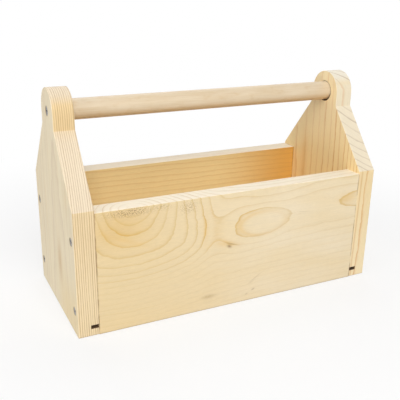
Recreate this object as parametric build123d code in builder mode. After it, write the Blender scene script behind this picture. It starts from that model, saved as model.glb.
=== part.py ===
from build123d import *
import os

# Open wooden tool tote: two gabled end boards, a front and a back panel screwed between
# them, a thin bottom held in grooves all round, and a round wooden rod as the handle.
# X runs along the tote, the front faces -Y, Z is up. The origin is the middle of the
# footprint on the floor. All sizes are millimetres.

# End boards
tote_length = 300
tote_width = 130
end_thickness = 18
shoulder_height = 112
head_centre_height = 180
head_radius = 20
neck_length = 12.5
corner_radius = 1.2
edge_easing = 0.5

# Front and back panels
panel_thickness = 18
panel_below_shoulder = 2
panel_easing = 0.4

# Bottom and the groove that holds it
bottom_thickness = 3
groove_height = 7
groove_depth = 7
groove_play = 0.2
bottom_edge_gap = 0.5

# Handle rod and its blind sockets
rod_diameter = 18
rod_end_chamfer = 0.5
socket_play = 1
socket_depth = 8
rod_rise = 0.6

# Panel screws
panel_screw_length = 40
panel_screw_diameter = 3.5
panel_screw_head = 7
lower_screw_height = 22
upper_screw_below_panel_top = 25

# Handle screws
handle_screw_length = 50
handle_screw_diameter = 4
handle_screw_head = 8

# All screws
screw_sink = 0.3
head_rim = 0.3
hole_play = 0.05
tip_diameter = 0.6
recess_to_head = 0.58
recess_width = 0.9
recess_depth = 1.6
recess_taper = 8

# Sizes that follow from those above
inner_length = tote_length - 2 * end_thickness
inner_width = tote_width - 2 * panel_thickness
panel_height = shoulder_height - panel_below_shoulder
neck_bottom_height = head_centre_height - neck_length
screw_row = tote_width / 2 - panel_thickness / 2
lower_row = lower_screw_height
upper_row = panel_height - upper_screw_below_panel_top
rod_height = head_centre_height + rod_rise
rod_length = inner_length + 2 * socket_depth
overshoot = 1

sides = {"left": -1, "right": 1}
faces_across = {"front": -1, "back": 1}


def screw_axis(side, across, height):
    """The line that a screw follows, from the tote's end face outwards."""
    return Axis((side * tote_length / 2, across, height), (side, 0, 0))


def screw_solid(side, across, height, diameter, head, length, play, top, mode):
    """A countersunk screw's outline turned about its axis, or its hole where play is given."""
    half_plane = Plane(
        origin=(side * tote_length / 2, across, height), x_dir=(0, 1, 0), z_dir=(0, 0, -side)
    )
    shank = diameter / 2 + play
    head_edge = head / 2 + play
    tip = tip_diameter / 2 + play
    rim_bottom = -screw_sink - head_rim
    cone_bottom = rim_bottom - (head - diameter) / 2
    tip_end = -screw_sink - length - play
    with BuildSketch(half_plane) as half_outline:
        with BuildLine():
            Polyline(
                (0, top),
                (head_edge, top),
                (head_edge, rim_bottom),
                (shank, cone_bottom),
                (shank, tip_end + diameter),
                (tip, tip_end),
                (0, tip_end),
                close=True,
            )
        make_face()
    revolve(half_outline.sketch, axis=screw_axis(side, across, height), mode=mode)


def cut_panel_screw_holes(side, across):
    """Holes for the lower and the upper screw that hold one end of a panel."""
    for height in (lower_row, upper_row):
        screw_solid(
            side, across, height, panel_screw_diameter, panel_screw_head,
            panel_screw_length, hole_play, overshoot, Mode.SUBTRACT,
        )


def cut_handle_screw_hole(side):
    """Hole for the screw that holds one end of the handle rod."""
    screw_solid(
        side, 0, rod_height, handle_screw_diameter, handle_screw_head,
        handle_screw_length, hole_play, overshoot, Mode.SUBTRACT,
    )


def make_end_board(side):
    """Gabled board with a round head, a groove for the bottom and a socket for the rod."""
    inner_plane = Plane.YZ.offset(side * inner_length / 2)
    half_width = tote_width / 2
    with BuildPart() as board:
        with BuildSketch(inner_plane) as gable:
            with BuildLine():
                Polyline(
                    (-head_radius, head_centre_height),
                    (-head_radius, neck_bottom_height),
                    (-half_width, shoulder_height),
                    (-half_width, 0),
                    (half_width, 0),
                    (half_width, shoulder_height),
                    (head_radius, neck_bottom_height),
                    (head_radius, head_centre_height),
                )
                CenterArc((0, head_centre_height), head_radius, 0, 180)
            make_face()
            corners = gable.vertices().group_by(Axis.Y)[:3]
            fillet([corner for row in corners for corner in row], radius=corner_radius)
        extrude(amount=side * end_thickness)
        flat_faces = board.faces().filter_by(Axis.X)
        fillet([edge for face in flat_faces for edge in face.edges()], radius=edge_easing)
        with BuildSketch(inner_plane):
            with Locations((0, groove_height)):
                Rectangle(
                    tote_width + 2 * overshoot,
                    bottom_thickness + groove_play,
                    align=(Align.CENTER, Align.MIN),
                )
        extrude(amount=side * groove_depth, mode=Mode.SUBTRACT)
        with BuildSketch(inner_plane):
            with Locations((0, head_centre_height)):
                Circle(rod_diameter / 2 + socket_play)
        extrude(amount=side * socket_depth, mode=Mode.SUBTRACT)
        for across in faces_across.values():
            cut_panel_screw_holes(side, across * screw_row)
        cut_handle_screw_hole(side)
    return board


def make_panel(across):
    """Long panel that butts between the end boards, grooved inside for the bottom."""
    outer_plane = Plane.XZ.offset(-across * tote_width / 2)
    inner_plane = Plane.XZ.offset(-across * inner_width / 2)
    with BuildPart() as panel:
        with BuildSketch(outer_plane):
            Rectangle(inner_length, panel_height, align=(Align.CENTER, Align.MIN))
        extrude(amount=across * panel_thickness)
        fillet(panel.edges().filter_by(Axis.X), radius=panel_easing)
        with BuildSketch(inner_plane):
            with Locations((0, groove_height)):
                Rectangle(
                    inner_length + 2 * overshoot,
                    bottom_thickness + groove_play,
                    align=(Align.CENTER, Align.MIN),
                )
        extrude(amount=-across * groove_depth, mode=Mode.SUBTRACT)
        for side in sides.values():
            cut_panel_screw_holes(side, across * screw_row)
    return panel


def make_screw(side, across, height, diameter, head, length, turn):
    """Countersunk wood screw with a cross recess turned by its own angle."""
    head_plane = Plane(
        origin=(side * (tote_length / 2 - screw_sink), across, height),
        x_dir=(0, 1, 0), z_dir=(side, 0, 0),
    )
    with BuildPart() as screw:
        screw_solid(
            side, across, height, diameter, head, length, 0, -screw_sink, Mode.ADD,
        )
        with BuildSketch(head_plane):
            for quarter in (0, 90):
                Rectangle(recess_to_head * head, recess_width, rotation=turn + quarter)
        extrude(amount=-recess_depth, taper=recess_taper, mode=Mode.SUBTRACT)
    return screw


def export_piece(piece, name):
    """Label one finished piece and write it under its own name."""
    piece.part.label = name
    export_step(piece.part, f"parts/{name}.step")


os.makedirs("parts", exist_ok=True)

for side_name, side in sides.items():
    export_piece(make_end_board(side), f"end_board_{side_name}")

for face_name, across in faces_across.items():
    export_piece(make_panel(across), f"{face_name}_panel")

with BuildPart() as bottom_panel:
    with BuildSketch(Plane.XY.offset(groove_height)):
        Rectangle(
            inner_length + 2 * (groove_depth - bottom_edge_gap),
            inner_width + 2 * (groove_depth - bottom_edge_gap),
        )
    extrude(amount=bottom_thickness)
export_piece(bottom_panel, "bottom_panel")

with BuildPart() as handle_rod:
    with BuildSketch(Plane.YZ.offset(-rod_length / 2)):
        with Locations((0, rod_height)):
            Circle(rod_diameter / 2)
    extrude(amount=rod_length)
    chamfer(handle_rod.edges().filter_by(GeomType.CIRCLE), length=rod_end_chamfer)
    for side in sides.values():
        cut_handle_screw_hole(side)
export_piece(handle_rod, "handle_rod")

# Screws are driven by hand, so each recess stops at an angle of its own.
recess_turn = 0
turn_step = 37
for side_name, side in sides.items():
    for face_name, across in faces_across.items():
        for row_name, height in (("lower", lower_row), ("upper", upper_row)):
            recess_turn += turn_step
            panel_screw = make_screw(
                side, across * screw_row, height, panel_screw_diameter,
                panel_screw_head, panel_screw_length, recess_turn,
            )
            export_piece(panel_screw, f"screw_{face_name}_{side_name}_{row_name}")
    recess_turn += turn_step
    handle_screw = make_screw(
        side, 0, rod_height, handle_screw_diameter,
        handle_screw_head, handle_screw_length, recess_turn,
    )
    export_piece(handle_screw, f"screw_handle_{side_name}")
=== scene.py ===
import math

import bpy
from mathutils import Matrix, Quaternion, Vector


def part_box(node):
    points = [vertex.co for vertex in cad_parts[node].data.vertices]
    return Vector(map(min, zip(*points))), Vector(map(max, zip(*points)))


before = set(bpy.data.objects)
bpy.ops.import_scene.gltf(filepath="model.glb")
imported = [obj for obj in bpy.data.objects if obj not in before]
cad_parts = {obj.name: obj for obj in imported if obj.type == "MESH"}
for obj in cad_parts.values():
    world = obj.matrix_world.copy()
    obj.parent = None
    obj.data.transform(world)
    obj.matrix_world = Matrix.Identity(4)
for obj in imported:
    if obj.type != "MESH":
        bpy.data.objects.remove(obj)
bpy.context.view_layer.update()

MM = 1000.0
X, Y, Z = range(3)


def corners_mm(node):
    """Lowest and highest corner of one piece, in millimetres."""
    low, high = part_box(node)
    return low * MM, high * MM


# Places on the tote, in millimetres, read from the frame
LEFT_FACE = corners_mm("end_board_left")[0].x
FRONT_LOW, FRONT_HIGH = corners_mm("front_panel")
BOTTOM_LOW, BOTTOM_HIGH = corners_mm("bottom_panel")
ROD_LOW, ROD_HIGH = corners_mm("handle_rod")
SCREW_FACE = corners_mm("screw_handle_right")[1].x
PANEL_END = FRONT_HIGH.x
PANEL_TOP = FRONT_HIGH.z

# Play of the bottom in its groove and of the rod in its sockets, and how far the rod sits
# above the sockets' middle, in millimetres
GROOVE_PLAY = 0.2
BOTTOM_EDGE_GAP = 0.5
SOCKET_PLAY = 1.0
ROD_RISE = 0.6


# ---------------------------------------------------------------- shader formulas
class Term:
    """A number that varies over a surface, written as a formula of shader maths nodes."""

    def __init__(self, tree, socket):
        self.tree = tree
        self.socket = socket

    def maths(self, operation, *others):
        """The outcome of one maths node, with this as its first value."""
        node = self.tree.nodes.new("ShaderNodeMath")
        node.operation = operation
        for slot, value in enumerate((self, *others)):
            feed(self.tree, node.inputs[slot], value)
        return Term(self.tree, node.outputs[0])

    def __add__(self, other):
        return self.maths("ADD", other)

    def __sub__(self, other):
        return self.maths("SUBTRACT", other)

    def __mul__(self, other):
        return self.maths("MULTIPLY", other)

    def __truediv__(self, other):
        return self.maths("DIVIDE", other)

    def __neg__(self):
        return self.maths("MULTIPLY", -1.0)

    __radd__ = __add__

    def __rsub__(self, other):
        return -self + other

    def square(self):
        return self * self

    def root(self):
        return self.maths("SQRT")

    def size(self):
        return self.maths("ABSOLUTE")

    def least(self, other):
        return self.maths("MINIMUM", other)

    def most(self, other):
        return self.maths("MAXIMUM", other)

    def step(self, low, high):
        """0 below low, 1 above high and smooth between them; low above high turns it round."""
        node = self.tree.nodes.new("ShaderNodeMapRange")
        node.interpolation_type = "SMOOTHSTEP"
        feed(self.tree, node.inputs["Value"], self)
        start, end = (low, high) if low < high else (high, low)
        node.inputs["From Min"].default_value = start
        node.inputs["From Max"].default_value = end
        node.inputs["To Min"].default_value = 0.0 if low < high else 1.0
        node.inputs["To Max"].default_value = 1.0 if low < high else 0.0
        return Term(self.tree, node.outputs["Result"])

    def bell(self, width):
        """1 where this is 0, falling smoothly to nothing about twice the width away."""
        return (-(self / width).square()).maths("EXPONENT")


def feed(tree, socket, value):
    """Link a term into a socket, or set the socket to a plain value."""
    if isinstance(value, Term):
        tree.links.new(value.socket, socket)
    else:
        socket.default_value = value


def distance(*gaps):
    """Distance to a place or a line, from the gaps along each axis."""
    return sum(gap.square() for gap in gaps).root()


class Finish:
    """One material: where the surface is, its random patterns, its colours and its bumps."""

    def __init__(self, name):
        self.material = bpy.data.materials.new(name)
        self.material.use_nodes = True
        self.tree = self.material.node_tree
        self.tree.nodes.clear()
        place = self.tree.nodes.new("ShaderNodeTexCoord").outputs["Object"]
        split = self.tree.nodes.new("ShaderNodeSeparateXYZ")
        self.tree.links.new(place, split.inputs[0])
        self.x, self.y, self.z = (Term(self.tree, out) * MM for out in split.outputs)
        normal = self.tree.nodes.new("ShaderNodeNewGeometry").outputs["Normal"]
        facing = self.tree.nodes.new("ShaderNodeSeparateXYZ")
        self.tree.links.new(normal, facing.inputs[0])
        self.facing = [Term(self.tree, out) for out in facing.outputs]

    def noise(self, x, y, z, detail=2.0):
        """Soft random value, mostly between -1 and 1. The three places are in patch sizes."""
        place = self.tree.nodes.new("ShaderNodeCombineXYZ")
        for socket, value in zip(place.inputs, (x, y, z)):
            feed(self.tree, socket, value)
        node = self.tree.nodes.new("ShaderNodeTexNoise")
        node.inputs["Scale"].default_value = 1.0
        node.inputs["Detail"].default_value = detail
        self.tree.links.new(place.outputs[0], node.inputs["Vector"])
        middle, spread = 0.5, 3.0
        return (Term(self.tree, node.outputs[0]) - middle) * spread

    def chance(self, number):
        """A random value from 0 to 1 that stays the same for equal numbers."""
        node = self.tree.nodes.new("ShaderNodeTexWhiteNoise")
        node.noise_dimensions = "1D"
        feed(self.tree, node.inputs["W"], number)
        return Term(self.tree, node.outputs["Value"])

    def mix(self, share, first, second):
        """A colour between two colours, each a plain tuple or another mixed colour."""
        node = self.tree.nodes.new("ShaderNodeMix")
        node.data_type = "RGBA"
        node.clamp_factor = True
        feed(self.tree, node.inputs[0], share)
        for socket, colour in ((node.inputs[6], first), (node.inputs[7], second)):
            if isinstance(colour, tuple):
                socket.default_value = (*colour, 1.0)
            else:
                self.tree.links.new(colour, socket)
        return node.outputs[2]

    def coats(self, colour, *coats):
        """A colour with others laid over it in turn, each written as its share and colour."""
        for share, coat in coats:
            colour = self.mix(share, colour, coat)
        return colour

    def brighten(self, colour, amount):
        """The colour times a varying brightness near 1."""
        node = self.tree.nodes.new("ShaderNodeVectorMath")
        node.operation = "SCALE"
        self.tree.links.new(colour, node.inputs[0])
        feed(self.tree, node.inputs["Scale"], amount)
        return node.outputs[0]

    def close(self, colour, roughness, height, bump_mm, metallic=0.0):
        """The shader itself, with its relief in millimetres."""
        shader = self.tree.nodes.new("ShaderNodeBsdfPrincipled")
        output = self.tree.nodes.new("ShaderNodeOutputMaterial")
        bump = self.tree.nodes.new("ShaderNodeBump")
        bump.inputs["Distance"].default_value = bump_mm / MM
        feed(self.tree, bump.inputs["Height"], height)
        self.tree.links.new(bump.outputs[0], shader.inputs["Normal"])
        self.tree.links.new(colour, shader.inputs["Base Color"])
        feed(self.tree, shader.inputs["Roughness"], roughness)
        shader.inputs["Metallic"].default_value = metallic
        self.tree.links.new(shader.outputs[0], output.inputs["Surface"])
        return self.material


def tint(red, green, blue):
    """A colour written as it looks on a screen, from 0 to 255, as the shader needs it."""
    parts = (channel / 255 for channel in (red, green, blue))
    return tuple(
        part / 12.92 if part <= 0.04045 else ((part + 0.055) / 1.055) ** 2.4 for part in parts
    )


# ---------------------------------------------------------------- softwood boards
class Grain:
    """Rings, fibres and patches of planed softwood at a point.

    ring counts growth rings, and along and across are the place along and across the
    fibres in millimetres. seed sets one board's random patterns apart from the others'.
    The dark wood starts softly at one share of a ring and ends sharply at its edge.
    Patch sizes are in millimetres, the long ones along the fibres.
    """

    def __init__(self, finish, ring, along, across, seed, dark_from=0.35):
        self.finish = finish
        drift = finish.noise(along / 70, across / 22, ring * 0.35 + seed, detail=1.0)
        wander = finish.noise(along / 13, across / 5, ring * 0.5 + seed + 9)
        ring = ring + drift * 0.18 + wander * 0.11
        number = ring.maths("FLOOR")
        growth = ring.maths("FRACT")
        strength = finish.chance(number + seed) * 0.55 + 0.45
        soft = growth.step(dark_from, 0.92) * growth.step(1.0, 0.94)
        crisp = growth.step(0.8, 0.93) * growth.step(1.0, 0.96)
        self.dark = (soft.square() * 0.55 + crisp * 0.45) * strength
        self.fibre = finish.noise(along / 30, across / 0.6, ring * 1.5 + seed, detail=3.0)
        self.flecks = finish.noise(along / 3, across / 0.8, ring * 2 + seed)
        self.cloud = finish.noise(along / 70, across / 24, seed + 4.0)
        self.mottle = finish.noise(along / 7, across / 2.2, seed + 6.0)

    def shade(self, colour):
        """Fibres and patches laid over a colour."""
        change = self.fibre * 0.046 + self.flecks * 0.03 + self.cloud * 0.024
        change = change + self.mottle * 0.02
        return self.finish.brighten(colour, change + 1.0)

    def close(self, colour):
        """Shader of bare planed wood: the dark wood stands a little proud and shines more."""
        bump_mm = 0.06
        roughness = 0.58 - self.dark * 0.12 + self.fibre * 0.04 + self.cloud * 0.03
        relief = self.dark * 0.7 + self.fibre * 0.3 + self.flecks * 0.2 + self.mottle * 0.15
        return self.finish.close(colour, roughness, relief, bump_mm)


# How far a face has to turn towards an axis to begin to count as facing it, and to count fully
SQUARE_ON = (0.6, 0.95)


def faces_left(finish):
    """1 on flat faces that look to the left."""
    return (-finish.facing[X]).step(*SQUARE_ON)


def faces_front(finish):
    """1 on flat faces that look to the front."""
    return (-finish.facing[Y]).step(*SQUARE_ON)


def faces_up(finish):
    """1 on faces that look up, including the slopes of the end boards, where the painted
    highlight goes.
    """
    return finish.facing[Z].step(0.35, 0.6)


def worn_arris(finish, first, second):
    """1 on the rounded edge between faces across two axes, broken up along its length."""
    patch = 5.0
    mask = finish.facing[first].square() * finish.facing[second].square() * 4.0
    scuff = finish.noise(finish.x / patch, finish.y / patch, finish.z / patch, detail=3.0)
    return mask.step(0.1, 0.7) * scuff.step(-0.7, 0.5)


def contact_shadow(finish):
    """1 on the lowest arris, where the tote stands on the floor: painted contact shadow."""
    return finish.z.step(1.2, 0.3)


def seam(finish, width, low, high):
    """Broken line of painted shade where the panels' ends meet the end boards.

    Its random pattern runs along the tote's length and height. It is 0 where that is
    below low and 1 where it is above high.
    """
    patch, slice_place = 9.0, 3.0
    pattern = finish.noise(finish.x / patch, slice_place, finish.z / patch, detail=3.0)
    return (finish.x.size() - PANEL_END).bell(width) * pattern.step(low, high)


# Painted shade colour for the walls of hollows
RECESS_SHADE = tint(88, 58, 28)
SHADOW_BROWN = tint(128, 84, 38)
DARK_RING_WOOD = tint(132, 98, 58)
SCUFFED_WOOD = tint(247, 233, 202)


# ---------------------------------------------------------------- end boards
def screw_places(side):
    """Middle and radius of each screw head in one end board, in its own plane."""
    places = []
    for node in sorted(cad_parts):
        if node.startswith("screw_") and side in node:
            low, high = corners_mm(node)
            places.append(((low.y + high.y) / 2, (low.z + high.z) / 2, (high.z - low.z) / 2))
    return places


def screw_rings(finish, side):
    """Darker ring right round each screw head."""
    dark_ring_width = 0.9
    return sum(
        distance(finish.y - middle_y, finish.z - middle_z).step(head + dark_ring_width, head)
        for middle_y, middle_z, head in screw_places(side)
    )


def up_to(measure, wall, fade):
    """1 up to a hollow's wall and on it, and 0 from a little beyond it."""
    on_wall = 0.05
    return measure.step(wall + fade, wall + on_wall)


def recessed(finish):
    """1 on the walls of the groove and of the rod's socket in an end board, where painted shade
    goes.
    """
    groove_fade, socket_fade = 0.25, 0.3
    length = finish.x.size()
    groove = up_to(finish.z, BOTTOM_HIGH.z + GROOVE_PLAY, groove_fade)
    groove = groove * up_to(-finish.z, -BOTTOM_LOW.z, groove_fade)
    groove = groove * up_to(length, BOTTOM_HIGH.x + BOTTOM_EDGE_GAP, groove_fade)
    socket_middle = (ROD_LOW.z + ROD_HIGH.z) / 2 - ROD_RISE
    radius = distance(finish.y, finish.z - socket_middle)
    socket = up_to(radius, ROD_HIGH.y + SOCKET_PLAY, socket_fade)
    return groove.most(socket * up_to(length, ROD_HIGH.x, socket_fade))


def dress_end(finish, colour, side):
    """Marks on both end boards: worn edges, painted shade in the seams and along the bottom, a
    darker ring round each screw hole, painted shade in the hollows.
    """
    beside_panel = (-finish.facing[Y]).step(0.05, 0.4)
    beside_panel = beside_panel * finish.z.step(PANEL_TOP + 1.0, PANEL_TOP - 2.0)
    dark_seam = seam(finish, 0.45, -0.6, 0.5) * beside_panel
    return finish.coats(
        colour,
        (worn_arris(finish, X, Y) * 0.35, SCUFFED_WOOD),
        (worn_arris(finish, X, Z) * 0.35, SCUFFED_WOOD),
        # Painted shade in the seams and painted contact shadow along the bottom
        ((dark_seam * 0.75).most(contact_shadow(finish) * 0.4), SHADOW_BROWN),
        # Darker ring round each screw head
        (screw_rings(finish, side) * 0.6, DARK_RING_WOOD),
        # Painted shade on the walls of the groove and the rod's socket
        (recessed(finish) * 0.9, RECESS_SHADE),
    )


def left_board():
    """Flat-sawn end board: rings nearly in line with its faces, with their middle far outside."""
    finish = Finish("wood_end_board_left")
    x, y, z = finish.x, finish.y, finish.z
    pith_away, pith_y = 260.0, -14.0
    ring_width, height_per_ring = 1.8, 150.0
    radius = distance(x - (LEFT_FACE - pith_away), y - pith_y)
    ring = (radius - pith_away) / ring_width + z / height_per_ring
    grain = Grain(finish, ring, z, y + x, 3.0, dark_from=0.2)
    outer_face, slope = faces_left(finish), faces_up(finish)
    neck = faces_front(finish) * z.step(158.0, 170.0)

    early = finish.coats(
        tint(232, 211, 170),
        (z.step(20.0, 80.0), tint(227, 204, 162)),
        (grain.cloud * 0.3 + 0.2, tint(236, 217, 180)),
        (outer_face * 0.85, tint(223, 210, 181)),
        # Painted highlight: the slopes paler and whiter, as under light from above
        (slope * 0.8, tint(229, 214, 190)),
        (neck * 0.6, tint(222, 192, 138)),
    )
    # Late wood paler on the slopes, part of the same painted highlight
    late = finish.mix(slope, tint(164, 120, 62), tint(172, 136, 92))

    streaks = finish.noise(z / 160, y / 4.5, 8.0).step(-0.1, 0.8)
    above_tongue = z - 50.0
    tongue = (y - pith_y + above_tongue * 0.03).bell(6.5) * above_tongue.bell(19.0)
    ragged = finish.noise(z / 30, y / 2.0, 2.0, detail=3.0) * 0.3 + 0.7
    warm_foot = y.step(8.0, -30.0) * z.step(66.0, 14.0)
    shoulder_streak = (y + 46.0).bell(5.0) * (z - 118.0).bell(14.0)
    colour = finish.coats(
        finish.mix(grain.dark * (1.0 - outer_face * 0.72), early, late),
        (streaks * outer_face * 0.35, tint(206, 178, 128)),
        (tongue * outer_face * ragged * 0.75, tint(188, 150, 94)),
        (warm_foot * outer_face * 0.45, tint(224, 198, 144)),
        (shoulder_streak * outer_face * 0.25, tint(214, 184, 128)),
    )
    return grain.close(dress_end(finish, grain.shade(colour), "left"))


def right_board():
    """Quarter-sawn end board: rings upright on its faces and curved across its edges."""
    finish = Finish("wood_end_board_right")
    x, y, z = finish.x, finish.y, finish.z
    pith_x, pith_y = 191.0, 65.0
    first_ring, ring_width = 86.5, 7.2
    narrow_from, narrowing = 112.5, 0.002
    radius = distance(x - pith_x, y - pith_y) + z * 0.008
    narrow = (radius - narrow_from).most(0.0)
    ring = (radius - first_ring) / ring_width + narrow.square() * narrowing
    grain = Grain(finish, ring, z, y + x, 17.0, dark_from=0.6)
    inner_face, slope = faces_left(finish), faces_up(finish)
    low = z.step(185.0, 90.0)
    front_edge = faces_front(finish) * z.step(0.0, 110.0)
    neck = (-finish.facing[Y]).step(0.2, 0.6) * z.step(155.0, 168.0) * (1.0 - slope)

    early = finish.coats(
        tint(237, 216, 174),
        (grain.cloud * 0.3 + 0.4, tint(240, 222, 184)),
        # Painted light: the inner face lighter and warmer, most of all low down where it lies in
        # shade
        (inner_face * (low * 0.6 + 0.3), tint(251, 223, 164)),
        # Painted highlight: the slopes paler and greyer, as under light from above
        (slope * 0.85, tint(233, 226, 210)),
        (front_edge * 0.5, tint(228, 200, 146)),
        (neck * 0.8, tint(229, 217, 192)),
    )
    # Late wood paler on the slopes, part of the same painted highlight
    late = finish.mix(slope, tint(210, 148, 68), tint(176, 152, 122))
    share = 0.66 + inner_face * (y.step(15.0, -40.0) * 0.66 + low * 0.15 - 0.42)

    edge_line = (x - (PANEL_END + 1.8) - z * 0.019).bell(0.9) * faces_front(finish)
    edge_line = edge_line * z.step(116.0, 110.0) * (grain.mottle * 0.3 + 0.7)
    band = (y - 27.0).bell(6.0) * z.step(150.0, 110.0) * inner_face
    colour = finish.coats(
        finish.mix(grain.dark * share, early, late),
        (edge_line * 0.6, tint(200, 144, 66)),
        (band * 0.4, tint(222, 172, 98)),
    )
    return grain.close(dress_end(finish, grain.shade(colour), "right"))


# ---------------------------------------------------------------- front panel
LOOP_X = 26.0
LOOP_Z = 76.5


def mark(finish, x, z, half_length, half_height, lean=0.0, strength=1.0):
    """A soft mark on the front panel, in millimetres, that leans by a rise per millimetre."""
    along = finish.x - x
    rise = finish.z - z - along * lean
    return along.bell(half_length) * rise.bell(half_height) * strength


def mound(finish, x, z, half_length, half_height):
    """1 at a place on the front panel, with oval level lines down to nothing."""
    across = ((finish.x - x) / half_length).square()
    up = ((finish.z - z) / half_height).square()
    rounding = 0.4
    return (1.0 - across - up).maths("SMOOTH_MAX", 0.0, rounding)


def front_rings(finish):
    """Ring count of the front panel: nested arcs, a closed loop and a tongue at the right."""
    x, z = finish.x, finish.z
    depth = finish.y - FRONT_LOW.y

    # Lines along the panel, about a pith in front of it that climbs a little to the right
    pith_ahead, pith_z, climb = 26.0, 76.3, 0.054
    ring_width, first_ring, thinning = 4.85, 7.05, 0.0011
    fall = distance(z - (x * climb + pith_z), depth + pith_ahead) - pith_ahead
    ring = fall * (1.0 - x * thinning) / ring_width + first_ring

    # The closed loop, the tongue, the saddle left of the loop and a bend above the tongue
    ring = ring - mound(finish, LOOP_X, LOOP_Z, 31.0, 23.0)
    ring = ring - mound(finish, 146.0, 87.5, 40.0, 13.0) * 0.68
    ring = ring + mark(finish, -25.0, 81.0, 17.0, 39.0, strength=2.19)
    ring = ring - mark(finish, 98.0, 104.0, 34.0, 9.0, strength=0.35)

    # The nested arcs round a knot just above the panel's top edge
    knot_x, knot_z, knot_width = -100.0, 117.0, 1.04
    knot_radius, knot_ring, blend = 12.7, 5.0, 20.6
    knot = distance((x - knot_x) / knot_width, z - knot_z, depth)
    return ring.maths("SMOOTH_MIN", (knot - knot_radius) / knot_ring, blend)


def front_wood(finish, grain, face):
    """Wood of the front panel without its marks, warmer where its lines bend."""
    x, z = finish.x, finish.z
    corner = mark(finish, -112.0, 94.0, 28.0, 20.0) * face
    early = finish.coats(
        tint(225, 203, 160),
        (x.step(-120.0, 60.0), tint(233, 217, 187)),
        (grain.cloud * 0.4 + 0.3, tint(223, 200, 154)),
        # Painted highlight: faces that look up paler, as under light from above
        (faces_up(finish) * 0.95, tint(249, 238, 216)),
        (corner * 0.8, tint(216, 184, 126)),
    )
    warm = sum([
        mark(finish, -112.0, 84.0, 26.0, 11.0, lean=-0.3),
        mark(finish, -29.0, 80.0, 9.0, 20.0),
        mark(finish, 8.0, 82.0, 18.0, 14.0),
        mark(finish, 122.0, 87.0, 18.0, 13.0, strength=0.5),
        mark(finish, -10.0, 63.0, 11.0, 7.0),
    ])
    late = finish.mix(warm.least(1.0) * face, tint(202, 167, 92), tint(210, 165, 74))
    share = z.step(28.0, 84.0) * 0.36 + x.step(60.0, -80.0) * z.step(20.0, 70.0) * 0.12 + 0.16
    share = share + warm * 0.52 * face
    share = share * (1.0 - mark(finish, -100.0, 110.0, 15.0, 9.0, strength=0.85))
    share = share * (1.0 - mark(finish, 24.0, LOOP_Z, 36.0, 22.0, strength=0.38))
    return finish.mix(grain.dark * share, early, late)


def amber_wood(finish):
    """Amber rim of the loop and amber wood beside the other lines, at most 1."""
    half_length, half_height, rim_at, rim_width = 28.0, 13.0, 0.86, 0.13
    oval = distance((finish.x - LOOP_X) / half_length, (finish.z - LOOP_Z) / half_height)
    rim = (oval - rim_at).bell(rim_width) * (finish.x.step(46.0, 6.0) * 0.6 + 0.3)
    return sum([
        rim,
        mark(finish, -12.0, 62.5, 11.0, 3.2, lean=-0.2),
        mark(finish, 121.0, 87.5, 11.0, 5.0),
        mark(finish, -33.0, 80.0, 3.0, 16.0, strength=0.5),
        mark(finish, -108.0, 82.5, 20.0, 2.6, lean=-0.42, strength=0.6),
    ]).least(1.0)


def torn_grain(finish):
    """Torn fibres along the panel's top edge."""
    torn = finish.noise(finish.x, 5.0, finish.z / 0.7, detail=1.0).step(0.0, 0.3)
    return torn * sum([
        mark(finish, -102.0, 106.3, 17.0, 3.2),
        mark(finish, -50.0, 103.0, 7.0, 5.0, strength=0.6),
        mark(finish, -73.0, 107.0, 6.0, 2.5, strength=0.5),
    ])


def stains(finish):
    """Small brown stains and scratches of the front panel."""
    speck = finish.noise(finish.x / 1.6, 7.0, finish.z / 0.8, detail=3.0) * 0.45 + 0.6
    return speck * sum([
        mark(finish, -29.0, 13.0, 6.5, 2.0, strength=0.8),
        mark(finish, 18.0, 10.5, 1.6, 0.8, lean=0.3),
        mark(finish, 11.0, 7.0, 1.5, 0.7, lean=0.3, strength=0.8),
        mark(finish, 19.5, 22.0, 6.0, 0.6, lean=0.6, strength=0.6),
        mark(finish, 16.0, 18.5, 3.0, 0.5, lean=0.5, strength=0.5),
        mark(finish, 70.0, 81.0, 8.0, 0.35, lean=-0.12, strength=0.45),
    ])


def pin_mark(finish):
    """Dark pin knot in the middle of the front panel, with its tail."""
    tail = mark(finish, -7.0, 61.5, 5.5, 0.7, lean=-0.35, strength=0.6)
    return mark(finish, -9.0, 59.5, 2.2, 1.4, lean=-0.3) + tail


def front_panel():
    """Flat-sawn panel with a knot's arcs, small stains and torn grain."""
    finish = Finish("wood_front_panel")
    grain = Grain(
        finish, front_rings(finish), finish.x, finish.z + finish.y, 31.0, dark_from=0.4
    )
    face = faces_front(finish)
    colour = finish.coats(
        front_wood(finish, grain, face),
        (amber_wood(finish) * face * 0.4, tint(219, 178, 98)),
        (torn_grain(finish) * face, tint(128, 92, 48)),
        (stains(finish) * face * 0.75, tint(158, 124, 74)),
        (pin_mark(finish) * face * 0.7, tint(132, 92, 46)),
        # Painted shade in the seam
        (seam(finish, 0.5, -0.6, 0.5) * face * 0.8, SHADOW_BROWN),
        # Painted contact shadow along the bottom
        (contact_shadow(finish) * 0.5, SHADOW_BROWN),
        (worn_arris(finish, Y, Z) * 0.4, tint(248, 236, 206)),
    )
    return grain.close(grain.shade(colour))


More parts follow.
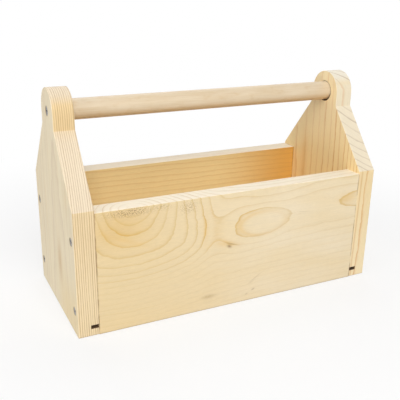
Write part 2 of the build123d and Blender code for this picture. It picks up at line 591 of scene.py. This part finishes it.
# ---------------------------------------------------------------- other finishes
def back_panel():
    """Panel with almost straight grain, in a warmer piece of the same wood, with painted light on
    its top and painted light and shade on its inside face.
    """
    finish = Finish("wood_back_panel")
    x, y, z = finish.x, finish.y, finish.z
    pith_y, pith_z, climb, ring_width = 30.0, -60.0, 0.02, 5.4
    ring = distance(z + x * climb - pith_z, y - pith_y) / ring_width
    grain = Grain(finish, ring, x, z + y, 47.0, dark_from=0.4)
    inside, top = faces_front(finish), faces_up(finish)
    early = finish.coats(
        tint(236, 208, 156),
        (grain.cloud * 0.3 + 0.4, tint(238, 214, 168)),
        # Painted light: the inside face lighter, to make up for its shade
        (inside * 0.9, tint(248, 221, 160)),
        # Painted shade: darker and more orange towards the right corner inside
        (x.step(30.0, PANEL_END) * inside * 0.9, tint(218, 160, 66)),
        # Painted highlight: the top paler, as under light from above
        (top * 0.85, tint(240, 227, 204)),
    )
    # Dark lines stronger to the right, and fainter on the top as part of the painted highlight
    share = x.step(0.0, PANEL_END) * 0.25 + 0.3 - top * 0.15
    dark_seam = seam(finish, 0.8, -0.9, 0.2)
    colour = finish.coats(
        finish.mix(grain.dark * share, early, tint(206, 150, 78)),
        # Painted shade in the seams and painted contact shadow along the bottom
        ((dark_seam * 0.75).most(contact_shadow(finish) * 0.5), SHADOW_BROWN),
        (worn_arris(finish, Y, Z) * 0.4, tint(246, 230, 198)),
    )
    return grain.close(grain.shade(colour))


def thin_bottom():
    """Thin sheet of the bottom, a plain sliced veneer."""
    finish = Finish("wood_bottom_panel")
    x, y = finish.x, finish.y
    sway, climb, ring_width = 6.0, 0.03, 7.0
    ring = (y + finish.noise(x / 80, y / 30, 5.0) * sway + x * climb) / ring_width
    grain = Grain(finish, ring, x, y + finish.z, 61.0)
    colour = finish.coats(
        tint(228, 200, 150),
        (grain.cloud * 0.3 + 0.5, tint(222, 192, 138)),
        (grain.dark * 0.45, tint(198, 156, 96)),
    )
    return grain.close(grain.shade(colour))


def rod_wood():
    """Close-grained hardwood of the handle, with short fine flecks."""
    finish = Finish("wood_handle_rod")
    x, y, z = finish.x, finish.y, finish.z
    fibre = finish.noise(x / 26, y / 0.8, z / 0.8, detail=3.0)
    flecks = finish.noise(x / 2.6, y / 0.35, z / 0.35, detail=1.0)
    cloud = finish.noise(x / 50, y / 12, z / 12)
    blotch = finish.noise(x / 9, y / 5, z / 5, detail=3.0)
    underside = (-finish.facing[Z]).step(0.0, 0.9)
    colour = finish.coats(
        tint(223, 206, 179),
        (fibre * 0.45 + cloud * 0.35 + 0.4, tint(208, 184, 148)),
        (blotch.step(0.0, 0.9) * 0.4, tint(204, 174, 130)),
        (flecks.step(0.6, 1.3) * 0.35, tint(190, 156, 110)),
        # Painted shade and warm reflected light on the rod's underside
        (underside * 0.6, tint(214, 172, 112)),
    )
    roughness = 0.5 + fibre * 0.05 + blotch * 0.03
    relief = fibre * 0.4 + flecks * 0.4 + blotch * 0.2
    return finish.close(colour, roughness, relief, bump_mm=0.04)


def screw_steel():
    """Dull zinc plate, with fine turning marks and painted shade in its recess."""
    finish = Finish("steel_screw")
    x, y, z = finish.x, finish.y, finish.z
    grime = finish.noise(x / 3, y / 1.4, z / 1.4, detail=3.0)
    marks = finish.noise(x / 4, y / 0.25, z / 0.7)
    recess = x.size().step(SCREW_FACE - 0.02, SCREW_FACE - 0.25)
    colour = finish.coats(
        tint(168, 172, 178),
        (grime * 0.4 + 0.5, tint(112, 114, 118)),
        # Painted shade in the screw's recess
        (recess * 0.85, tint(34, 33, 34)),
    )
    roughness = grime * 0.06 + recess * 0.3 + 0.34
    relief = marks * 0.4 + grime * 0.4
    return finish.close(colour, roughness, relief, bump_mm=0.03, metallic=0.9)


def dress(node, material):
    """Give one piece of the frame its finish."""
    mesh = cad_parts[node].data
    mesh.materials.clear()
    mesh.materials.append(material)


def dress_tote():
    """Finish of every piece."""
    dress("end_board_left", left_board())
    dress("end_board_right", right_board())
    dress("front_panel", front_panel())
    dress("back_panel", back_panel())
    dress("bottom_panel", thin_bottom())
    dress("handle_rod", rod_wood())
    steel = screw_steel()
    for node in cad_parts:
        if node.startswith("screw_"):
            dress(node, steel)


# ---------------------------------------------------------------- studio
WHITE = (1.0, 1.0, 1.0, 1.0)
PAPER = (0.9, 0.9, 0.9, 1.0)

# Metres; the floor lies just below the boards, whose bottoms would flicker in it otherwise
FLOOR_SIDE = 24.0
FLOOR_DROP = -0.0002

# Millimetres from the tote's middle between which the floor turns plain white, and how
# plain it already is near the tote
SHADOW_FROM = 150.0
SHADOW_END = 520.0
PLAIN_NEAR = 0.65

WORLD_LIGHT = 0.12
LAMP_DISTANCE = 1.6

# The photograph's viewpoint, worked out from the tote's corners, in degrees and millimetres
CAMERA_PLACE = Vector((-260.2, -511.7, 287.6)) / MM
CAMERA_AZIMUTH = -26.32
CAMERA_ELEVATION = 19.82
CAMERA_ROLL = 0.98
CAMERA_LENS = 55.95
CAMERA_SENSOR = 36.0


def add_object(name, data):
    """A new object in the scene."""
    thing = bpy.data.objects.new(name, data)
    bpy.context.scene.collection.objects.link(thing)
    return thing


def direction(azimuth, elevation):
    """Unit vector from the tote in a direction given in degrees."""
    around, above = math.radians(azimuth), math.radians(elevation)
    return Vector((
        math.sin(around) * math.cos(above), -math.cos(around) * math.cos(above), math.sin(above)
    ))


def turn(thing, away, roll=0.0):
    """Turn a lamp or a camera to look back along a direction, rolled by degrees."""
    thing.rotation_mode = "QUATERNION"
    level = (-away).to_track_quat("-Z", "Y")
    thing.rotation_quaternion = level @ Quaternion((0, 0, 1), math.radians(roll))


def camera_rays(tree):
    """1 for what the camera sees directly or through a reflection, 0 for lighting."""
    path = tree.nodes.new("ShaderNodeLightPath")
    seen = Term(tree, path.outputs["Is Camera Ray"])
    seen = seen.most(Term(tree, path.outputs["Is Glossy Ray"]))
    return seen.most(Term(tree, path.outputs["Is Transmission Ray"]))


def floor_finish():
    """Paper that keeps a soft shadow close to the tote and is plain white beyond."""
    finish = Finish("floor")
    tree = finish.tree
    paper = tree.nodes.new("ShaderNodeBsdfDiffuse")
    paper.inputs["Color"].default_value = PAPER
    glow = tree.nodes.new("ShaderNodeEmission")
    glow.inputs["Color"].default_value = WHITE
    far = distance(finish.x, finish.y).step(SHADOW_FROM, SHADOW_END)
    share = (far * (1.0 - PLAIN_NEAR) + PLAIN_NEAR) * camera_rays(tree)
    blend = tree.nodes.new("ShaderNodeMixShader")
    output = tree.nodes.new("ShaderNodeOutputMaterial")
    feed(tree, blend.inputs[0], share)
    tree.links.new(paper.outputs[0], blend.inputs[1])
    tree.links.new(glow.outputs[0], blend.inputs[2])
    tree.links.new(blend.outputs[0], output.inputs["Surface"])
    return finish.material


def make_floor():
    """Flat floor under the tote."""
    half = FLOOR_SIDE / 2
    mesh = bpy.data.meshes.new("floor")
    mesh.from_pydata(
        [(-half, -half, 0), (half, -half, 0), (half, half, 0), (-half, half, 0)],
        [], [(0, 1, 2, 3)],
    )
    mesh.materials.append(floor_finish())
    floor = add_object("floor", mesh)
    floor.location.z = FLOOR_DROP


def make_world():
    """Even white light from all round, seen as plain white behind the tote."""
    world = bpy.data.worlds.new("studio")
    bpy.context.scene.world = world
    world.use_nodes = True
    tree = world.node_tree
    sky = tree.nodes["Background"]
    sky.inputs["Color"].default_value = WHITE
    strength = camera_rays(tree) * (1.0 - WORLD_LIGHT) + WORLD_LIGHT
    feed(tree, sky.inputs["Strength"], strength)


def make_lamp(name, azimuth, elevation, side, power):
    """Square soft light that looks at the tote, with its side in metres and power in watts."""
    light = bpy.data.lights.new(name, "AREA")
    light.shape = "SQUARE"
    light.size = side
    light.energy = power
    away = direction(azimuth, elevation)
    lamp = add_object(name, light)
    lamp.location = away * LAMP_DISTANCE
    turn(lamp, away)


def make_lamps():
    """A strong light in front that reaches into the tote, and weaker ones round the rest."""
    make_lamp("front", azimuth=-14, elevation=42, side=0.9, power=17.8)
    make_lamp("left", azimuth=-80, elevation=22, side=1.2, power=10.0)
    make_lamp("back", azimuth=165, elevation=52, side=1.4, power=9.0)
    make_lamp("right", azimuth=95, elevation=22, side=1.2, power=4.5)


def make_camera():
    """Camera at the photograph's viewpoint."""
    data = bpy.data.cameras.new("camera")
    data.lens = CAMERA_LENS
    data.sensor_width = CAMERA_SENSOR
    data.clip_start = 0.01
    data.clip_end = 100.0
    camera = add_object("camera", data)
    camera.location = CAMERA_PLACE
    turn(camera, direction(CAMERA_AZIMUTH, CAMERA_ELEVATION), CAMERA_ROLL)
    bpy.context.scene.camera = camera


dress_tote()
make_floor()
make_world()
make_lamps()
make_camera()
bpy.context.scene.view_settings.view_transform = "Standard"
